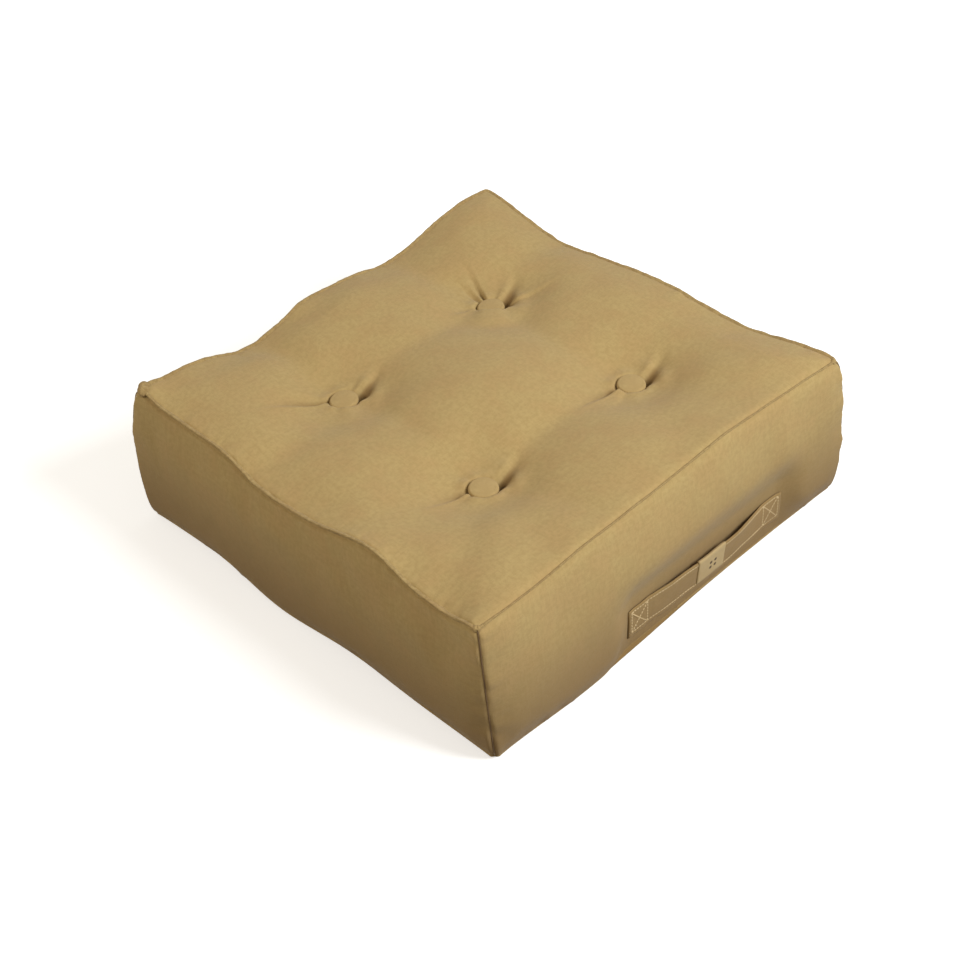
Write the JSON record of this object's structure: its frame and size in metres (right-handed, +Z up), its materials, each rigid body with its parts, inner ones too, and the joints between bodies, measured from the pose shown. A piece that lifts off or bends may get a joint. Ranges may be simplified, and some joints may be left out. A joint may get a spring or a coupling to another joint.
{
  "type": "floor cushion",
  "caption": "Thick square tufted floor cushion with covered buttons, ridged seams and a sewn fabric carrying strap that bows out for the hand.",
  "frame": {"origin": "middle of the flat underside, on the surface that the cushion lies on", "axes": "+Z up, -Y out of the side that carries the strap, +X to the right when facing that side"},
  "size_m": [0.5, 0.5087, 0.18],
  "materials": {
    "cover_fabric": "khaki linen-look plain weave",
    "button_fabric": "khaki linen-look plain weave stretched over a dome",
    "strap_fabric": "khaki linen-look plain weave, folded and edge stitched",
    "label_tape": "pale beige woven tape",
    "fill_fibre": "white polyester fibre",
    "thread": "spun polyester thread",
    "twine": "waxed twine",
    "shell_metal": "plain stamped",
    "back_metal": "zinc plated"
  },
  "bodies": {
    "cushion": {"top_panel": "cover_fabric", "bottom_panel": "cover_fabric", "front_side_panel": "cover_fabric", "right_side_panel": "cover_fabric", "back_side_panel": "cover_fabric", "left_side_panel": "cover_fabric", "fibre_fill": "fill_fibre", "top_seam_thread": "thread", "bottom_seam_thread": "thread", "corner_seam_threads": "thread", "strap_left_stitching": "thread", "strap_right_stitching": "thread", "top_button_left_front_cover": "button_fabric", "top_button_left_front_shell": "shell_metal", "top_button_left_front_back": "back_metal", "top_button_right_front_cover": "button_fabric", "top_button_right_front_shell": "shell_metal", "top_button_right_front_back": "back_metal", "top_button_right_back_cover": "button_fabric", "top_button_right_back_shell": "shell_metal", "top_button_right_back_back": "back_metal", "top_button_left_back_cover": "button_fabric", "top_button_left_back_shell": "shell_metal", "top_button_left_back_back": "back_metal", "bottom_button_left_front_cover": "button_fabric", "bottom_button_left_front_shell": "shell_metal", "bottom_button_left_front_back": "back_metal", "bottom_button_right_front_cover": "button_fabric", "bottom_button_right_front_shell": "shell_metal", "bottom_button_right_front_back": "back_metal", "bottom_button_right_back_cover": "button_fabric", "bottom_button_right_back_shell": "shell_metal", "bottom_button_right_back_back": "back_metal", "bottom_button_left_back_cover": "button_fabric", "bottom_button_left_back_shell": "shell_metal", "bottom_button_left_back_back": "back_metal", "tuft_twine_left_front": "twine", "tuft_twine_right_front": "twine", "tuft_twine_right_back": "twine", "tuft_twine_left_back": "twine", "strap_left_end": "strap_fabric", "strap_right_end": "strap_fabric"},
    "handle": {"strap_middle": "strap_fabric", "label": "label_tape"}
  },
  "joints": [
    {"name": "strap_pull", "type": "slide", "parent": "cushion", "child": "handle", "axis": [0, -1, 0], "range_m": [0, 0.018]}
  ]
}
